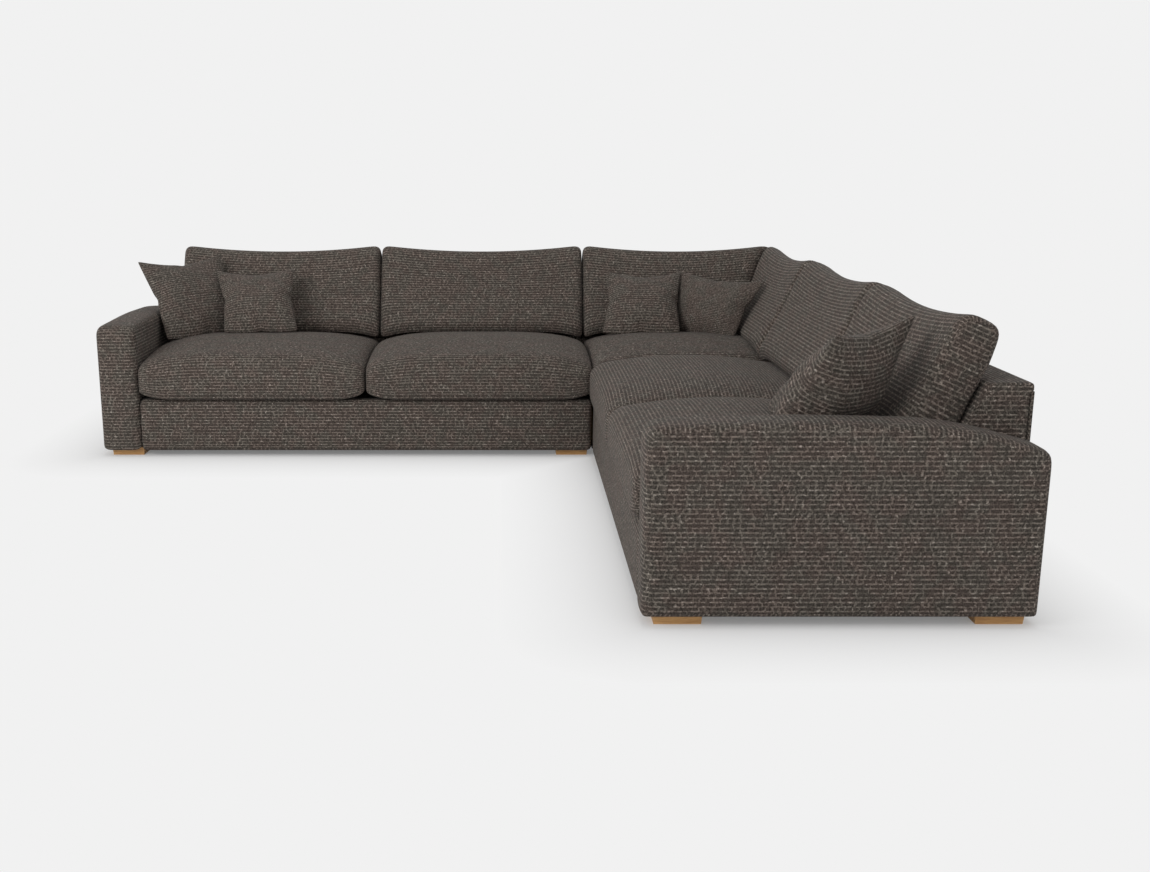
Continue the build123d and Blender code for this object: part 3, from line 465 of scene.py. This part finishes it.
panel_corners = [(BACK_SEAM, floor_gap), (panel_high.y, floor_gap), (panel_high.y, panel_high.z),
                 (BACK_SEAM, panel_high.z)]
panel_radii = [PANEL_ROUND] * 4
wing_panel = carried(panel_corners, panel_radii, back_low.x, back_high.x, PANEL_ROUND)
corner_panel = shaped(carried(panel_corners, panel_radii, corner_low.x, corner_high.x, PANEL_ROUND),
                      mitred(corner_low.x, corner_high.x, MITRE_GAP))
piece("rear_outside_panel", wing_panel, weave, "frame", "outside_back_panels", levels=0)
for name, skin in (("side_outside_panel", to_side_run(wing_panel)),
                   ("corner_rear_outside_panel", corner_panel),
                   ("corner_side_outside_panel", to_side_run(corner_panel))):
    piece(name, skin, weave, "frame", "outside_back_panels", levels=0)

# ---------------------------------------------------------------- seat cushions
# Blocks of foam under fibre wrap in zipped covers, plump in the middle and soft at every edge.
# The cover is one length over front and top, sewn to side panels at its rounded ends.
SEAT_RADII = [0.022, 0.03, 0.03, 1.7, 0.07]
SEAT_ROUND = 0.034
SEAT_FOOT = 1.297  # where the bottom meets the rear, in Y
SEAT_HEAD = (1.385, 0.430)  # where the rear meets the top, in Y and height
SEAT_CREST = (0.36, 0.509)  # distance behind the front, and height
SEAT_BROW = 0.440  # height at which the top meets the front
SEAT_CROWN = 0.487  # height above which the ends are no longer lifted with the bottom
SEAT_FALL = 0.23  # how much lower the top is at the ends, as a share of the cushion's height
SEAT_LIFT = 0.022  # how far the bottom comes up at the ends
END_BULGE = 0.004
WADDING = 0.012  # between a cover and the filling that is drawn inside it

seat_low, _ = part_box("left_outer_seat_cushion_cover")


def seat_corners(front):
    """The outline of a seat cushion in Y and Z, from the foot of its front."""
    crest = (front + SEAT_CREST[0], SEAT_CREST[1])
    return [(front, seat_low.z), (SEAT_FOOT, seat_low.z), SEAT_HEAD, crest, (front, SEAT_BROW)]


def domed(low, high, base, top):
    """The top falls and the bottom rises towards both ends."""
    def shape(x, y, z):
        across = np.abs(2 * (x - low) / (high - low) - 1)
        lift = SEAT_LIFT * smooth_step(across, 0.78, 1.02) * (1 - smooth_step(z, base, top))
        return x, y, base + (z - base) * (1 - SEAT_FALL * across ** 4) + lift
    return shape


def stuffed(name, corners, radii, start, stop, rounding, lean, shape, turned, filling, look):
    """A cushion: its cover, and the filling drawn in a little inside it."""
    cover = shaped(carried(corners, radii, start, stop, rounding, END_BULGE, lean=lean), shape)
    inside = carried(corners, radii, start + WADDING, stop - WADDING, rounding, END_BULGE, WADDING)
    inside = shaped(inside, shape)
    if turned:
        cover, inside = to_side_run(cover), to_side_run(inside)
    piece(name, cover, weave, name, f"{name}_cover")
    slot = {"foam": "seat_foam", "fibre": "fibre"}[filling]
    piece(f"{name}_stuffing", inside, look, name, f"{name}_{filling}", slot=slot, levels=0)


for place in ("left_outer", "left_inner", "corner"):
    low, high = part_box(f"{place}_seat_cushion_cover")
    shape = domed(low.x, high.x, low.z, SEAT_CROWN)
    for name in (place, place.replace("left", "right")) if "left" in place else (place,):
        stuffed(f"{name}_seat_cushion", seat_corners(low.y), SEAT_RADII, low.x, high.x, SEAT_ROUND, 0.0,
                shape, "right" in name, "foam", foam)

# ---------------------------------------------------------------- back cushions
# Fibre-filled cushions that lean on the raked backs. Their corners stand up as ears and the top sags between.
# The two in the corner meet on a mitre.
CUSHION_CORNERS = [(1.236, 0.449), (1.385, 0.449), (1.504, 0.705), (1.535, 0.812),
                   (1.420, 0.866), (1.372, 0.782), (1.318, 0.650), (1.222, 0.496)]
CUSHION_RADII = [0.020, 0.016, 0.12, 0.038, 0.050, 0.10, 0.9, 0.03]
CUSHION_ROUND = 0.034
CUSHION_LEAN = math.radians(23)  # of the end panels' weave, which follows the rake
CUSHION_MITRE = 1.462  # where a corner cushion would end in X if it weren't mitred
CUSHION_GAP = 0.002  # between a corner cushion and the plane of the mitre
SAG = 0.026  # how far the top hangs between the ears
DROOP = 0.036  # how far the bottom corners hang below the middle, where the seat falls away


def sagging(low, high):
    """The top hangs between the ears, and the bottom follows the fall of the seat."""
    def shape(x, y, z):
        across = 2 * (x - low) / (high - low) - 1
        sag = SAG * np.clip(1 - (across / 0.93) ** 2, -0.1, 1) * smooth_step(z, 0.60, 0.80)
        droop = DROOP * np.abs(across) ** 7 * (1 - smooth_step(z, 0.46, 0.62))
        return x, y, z - sag - droop
    return shape


for place in ("left_outer", "left_inner"):
    low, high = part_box(f"{place}_back_cushion_cover")
    for name in (place, place.replace("left", "right")):
        stuffed(f"{name}_back_cushion", CUSHION_CORNERS, CUSHION_RADII, low.x, high.x, CUSHION_ROUND,
                CUSHION_LEAN, sagging(low.x, high.x), "right" in name, "fibre", fibre)

low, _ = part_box("corner_rear_back_cushion_cover")


def mitred_sag(x, y, z):
    """Sags a corner cushion, then cuts it to the mitre."""
    return mitred(low.x, CUSHION_MITRE, CUSHION_GAP)(*sagging(low.x, CUSHION_MITRE)(x, y, z))


for name in ("corner_rear", "corner_side"):
    stuffed(f"{name}_back_cushion", CUSHION_CORNERS, CUSHION_RADII, low.x, CUSHION_MITRE, CUSHION_ROUND,
            CUSHION_LEAN, mitred_sag, name == "corner_side", "fibre", fibre)

# ---------------------------------------------------------------- scatter cushions
# Six square cushions, each of two squares of fabric sewn together at a knife edge and stuffed with fibre.
# The filling draws the sides in and leaves the corners as thin pointed ears.
SHEET_CELLS = 24
SHEET_SIDE = 0.44
PRESSURE = 4.0
LAST_FRAME = 20
FULLNESS = 0.42  # how far a case goes from flat to as full as it can be
SWOLLEN = 1.15  # the length of the fabric over the filling against the straight line between two corners
EAR = 1.03  # the corners reach past their places by this, because rounding the mesh draws them in
# As the filling sinks, the top edge drops in its middle, as a share of half the side, and the top thins.
SLUMP, THINNED = 0.12, 0.4
REST = 0.12  # how far the bottom edge is pressed straight again by the seat, as a share of half the side


def sewn_case():
    """Two flat squares joined at their edges: points, faces, and UV pairs in shares of half the side."""
    shares = np.linspace(-1, 1, SHEET_CELLS + 1)
    u, v = np.meshgrid(shares, shares, indexing="ij")
    rim = (np.abs(u) == 1) | (np.abs(v) == 1)
    gap = np.where(rim, 0, 0.004)
    half = SHEET_SIDE / 2
    front = np.stack([half * u, half * v, gap], -1)
    rear = np.stack([half * u, half * v, -gap], -1)
    count = SHEET_CELLS + 1
    numbers = np.arange(count * count).reshape(count, count)
    behind = numbers.copy()
    behind[~rim] = count * count + np.arange((~rim).sum())
    faces, pairs = [], []
    for i in range(SHEET_CELLS):
        for j in range(SHEET_CELLS):
            quad = [(i, j), (i + 1, j), (i + 1, j + 1), (i, j + 1)]
            pair = [(shares[p], shares[q]) for p, q in quad]
            faces += [[int(numbers[q]) for q in quad], [int(behind[q]) for q in quad[::-1]]]
            pairs += [pair, pair[::-1]]
    return np.vstack([front.reshape(-1, 3), rear[~rim]]), faces, pairs


def blown_up(points, faces):
    """Where the points of a case come to rest when pressure swells it."""
    mesh = bpy.data.meshes.new("case")
    mesh.from_pydata(points.tolist(), [], faces)
    case = bpy.data.objects.new("case", mesh)
    bpy.context.scene.collection.objects.link(case)
    swell = case.modifiers.new("stuffing", "CLOTH")
    swell.settings.use_pressure = True
    swell.settings.uniform_pressure_force = PRESSURE
    swell.settings.effector_weights.gravity = 0
    swell.point_cache.frame_end = LAST_FRAME
    for step in range(1, LAST_FRAME + 1):
        bpy.context.scene.frame_set(step)
    full = case.evaluated_get(bpy.context.evaluated_depsgraph_get()).data
    places = np.array([v.co for v in full.vertices])
    bpy.data.objects.remove(case)
    bpy.context.scene.frame_set(1)
    return places


flat_case, case_faces, case_pairs = sewn_case()
full_case = blown_up(flat_case, case_faces)
case = flat_case + (full_case - flat_case) * FULLNESS
case[:, :2] *= EAR / np.abs(case[0, :2])
case[:, 2] /= np.abs(case[:, 2]).max()
case[:, 1] -= REST * np.clip(-case[:, 1], 0, 1) ** 3 * np.clip(1 - case[:, 0] ** 2, 0, 1)
case[:, 2] *= 1 - THINNED * np.clip(case[:, 1], 0, 1)
case[:, 1] -= SLUMP * np.clip(case[:, 1], 0, 1) ** 2 * np.clip(1 - case[:, 0] ** 2, 0, 1)


def scatter(corners, thickness):
    """The case stretched between its corners: top left, top right, bottom right and bottom left.

    The corners are held in X, Y and Z, and thickness is that of the fullest part.
    """
    top_left, top_right, bottom_right, bottom_left = [np.array(c) for c in corners]
    right, up = (case[:, :1] + 1) / 2, (case[:, 1:2] + 1) / 2
    sheet = up * ((1 - right) * top_left + right * top_right) \
        + (1 - up) * ((1 - right) * bottom_left + right * bottom_right)
    normal = np.cross(top_right - bottom_left, top_left - bottom_right)
    normal = normal / np.linalg.norm(normal)
    half = np.linalg.norm(top_right - top_left) / 2 * SWOLLEN
    return sheet + case[:, 2:] * normal * thickness / 2, case_faces, [np.array(p) * half for p in case_pairs]


SCATTERS = {  # the four corners of each, and its thickness
    "left_small": (
        [(-1.231, 1.20, 0.747), (-0.872, 1.26, 0.754), (-0.825, 1.00, 0.492), (-1.158, 0.97, 0.487)],
        0.12),
    "right_small": (
        [(1.22, -1.19, 0.715), (1.29, -0.90, 0.70), (1.00, -0.86, 0.487), (0.97, -1.16, 0.487)],
        0.12),
    "left_large": (
        [(-1.57, 1.08, 0.80), (-1.24, 1.33, 0.815), (-1.09, 1.19, 0.476), (-1.40, 0.88, 0.466)],
        0.12),
    "right_large": (
        [(1.318, -1.30, 0.836), (1.04, -1.515, 0.805), (0.875, -1.40, 0.477), (1.175, -1.17, 0.477)],
        0.20),
    "corner_left": (
        [(0.63, 1.26, 0.74), (0.98, 1.215, 0.74), (0.955, 1.00, 0.482), (0.60, 1.04, 0.475)],
        0.12),
    "corner_right": (
        [(0.96, 1.26, 0.75), (1.335, 0.965, 0.72), (1.19, 0.905, 0.47), (0.94, 1.14, 0.481)],
        0.12),
}
for name, (corners, thickness) in SCATTERS.items():
    skin = scatter(corners, thickness)
    piece(f"{name}_scatter", skin, weave, f"{name}_scatter", f"{name}_scatter_cushion")

# ---------------------------------------------------------------- floor, lamps and camera
# A white studio: a pale floor that runs into an even backdrop, broad soft light, and the camera a little
# below eye height.
# The backdrop shows only to the camera and in reflections, so it puts no light of its own on the sofa.
FLOOR_COLOUR, BACKDROP = "fafafa", "f1f1f1"
AMBIENT_SIDE, AMBIENT_TOP = 1.04, 0.56  # the room is brighter round about than overhead
NEAR_SHARE, FAR = 0.2, 0.4  # share of backdrop in the floor at the sofa, and how far off it is all backdrop
RUNS = (((0.0, 1.07, 0.0), (1.62, 0.55, 1.0)),  # middle of each run, and half its length, depth and height
        ((1.07, 0.0, 0.0), (0.55, 1.62, 1.0)))
LAMP_PLACE, LAMP_AIM = (-3.5, -3.2, 2.7), (-0.5, -0.2, 6.3)
LAMP_SIDE, LAMP_POWER = 2.8, 225.0
FOCAL, PIXELS = 1301.72, (1150, 872)
EYE, PITCH = (0.133, -5.039, 1.2788), 0.2374
CENTRE = (503.26, 471.10)  # where the optical axis meets the picture


def seen_directly(tree):
    """One for rays of the camera, of reflections and through glass, and nought for all others."""
    camera_ray = add(tree, "ShaderNodeLightPath", {}, "Is Camera Ray")
    glossy_ray = add(tree, "ShaderNodeLightPath", {}, "Is Glossy Ray")
    clear_ray = add(tree, "ShaderNodeLightPath", {}, "Is Transmission Ray")
    either = add(tree, "ShaderNodeMath", {0: camera_ray, 1: glossy_ray}, operation="MAXIMUM")
    return add(tree, "ShaderNodeMath", {0: either, 1: clear_ray}, operation="MAXIMUM")


tree = begin("studio floor")
floor_look = next(m for m in bpy.data.materials if m.node_tree == tree)
floor_look.cycles.emission_sampling = "NONE"  # the glow is only to be seen, so no light is drawn from it
floor_place = add(tree, "ShaderNodeNewGeometry", {}, "Position")
distances = []  # from the ground that each run covers
for middle, half in RUNS:
    offset = add(tree, "ShaderNodeVectorMath", {0: floor_place, 1: middle}, operation="SUBTRACT")
    either_way = add(tree, "ShaderNodeVectorMath", {0: offset}, operation="ABSOLUTE")
    beyond = add(tree, "ShaderNodeVectorMath", {0: either_way, 1: half}, operation="SUBTRACT")
    outside = add(tree, "ShaderNodeVectorMath", {0: beyond, 1: (0.0, 0.0, 0.0)}, operation="MAXIMUM")
    distances.append(add(tree, "ShaderNodeVectorMath", {0: outside}, "Value", operation="LENGTH"))
nearest = add(tree, "ShaderNodeMath", {0: distances[0], 1: distances[1]}, operation="MINIMUM")
far_share = add(tree, "ShaderNodeMapRange", {0: nearest, 1: 0.0, 2: FAR})
rising = add(tree, "ShaderNodeMath", {0: far_share, 1: 0.5}, operation="POWER")
passing = add(tree, "ShaderNodeMapRange", {0: rising, 3: NEAR_SHARE})
share = add(tree, "ShaderNodeMath", {0: passing, 1: seen_directly(tree)}, operation="MULTIPLY")
paint = add(tree, "ShaderNodeBsdfDiffuse", {"Color": linear(FLOOR_COLOUR)})
glow = add(tree, "ShaderNodeEmission", {"Color": linear(BACKDROP), "Strength": 1.0})
floor_shade = add(tree, "ShaderNodeMixShader", {0: share, 1: paint, 2: glow})
add(tree, "ShaderNodeOutputMaterial", {"Surface": floor_shade}, None)
bpy.ops.mesh.primitive_plane_add(size=80.0)
floor = bpy.context.object
floor.name = "floor"
floor.data.materials.append(floor_look)

world = bpy.data.worlds.new("studio")
bpy.context.scene.world = world
world.use_nodes = True
world.node_tree.nodes.clear()
tree = world.node_tree
towards = add(tree, "ShaderNodeTexCoord", {}, "Generated")
upwards = add(tree, "ShaderNodeSeparateXYZ", {0: towards}, 2)
level = add(tree, "ShaderNodeMapRange", {0: upwards, 3: AMBIENT_SIDE, 4: AMBIENT_TOP})
ambient = add(tree, "ShaderNodeBackground", {"Color": linear(BACKDROP), "Strength": level})
backdrop = add(tree, "ShaderNodeBackground", {"Color": linear(BACKDROP), "Strength": 1.0})
sky = add(tree, "ShaderNodeMixShader", {0: seen_directly(tree), 1: ambient, 2: backdrop})
add(tree, "ShaderNodeOutputWorld", {"Surface": sky}, None)

lamp = bpy.data.lights.new("softbox", "AREA")
lamp.shape = "SQUARE"
lamp.size = LAMP_SIDE
lamp.energy = LAMP_POWER
softbox = bpy.data.objects.new("softbox", lamp)
softbox.location = LAMP_PLACE
softbox.rotation_euler = (Vector(LAMP_AIM) - Vector(LAMP_PLACE)).to_track_quat("-Z", "Y").to_euler()
bpy.context.scene.collection.objects.link(softbox)

lens = bpy.data.cameras.new("camera")
lens.sensor_width = 36.0
lens.lens = FOCAL / PIXELS[0] * lens.sensor_width
lens.shift_x = (PIXELS[0] / 2 - CENTRE[0]) / PIXELS[0]
lens.shift_y = (CENTRE[1] - PIXELS[1] / 2) / PIXELS[0]
camera = bpy.data.objects.new("camera", lens)
camera.location = EYE
camera.rotation_euler = (math.pi / 2 - PITCH, 0, 0)
bpy.context.scene.collection.objects.link(camera)
bpy.context.scene.camera = camera
bpy.context.scene.view_settings.view_transform = "Standard"
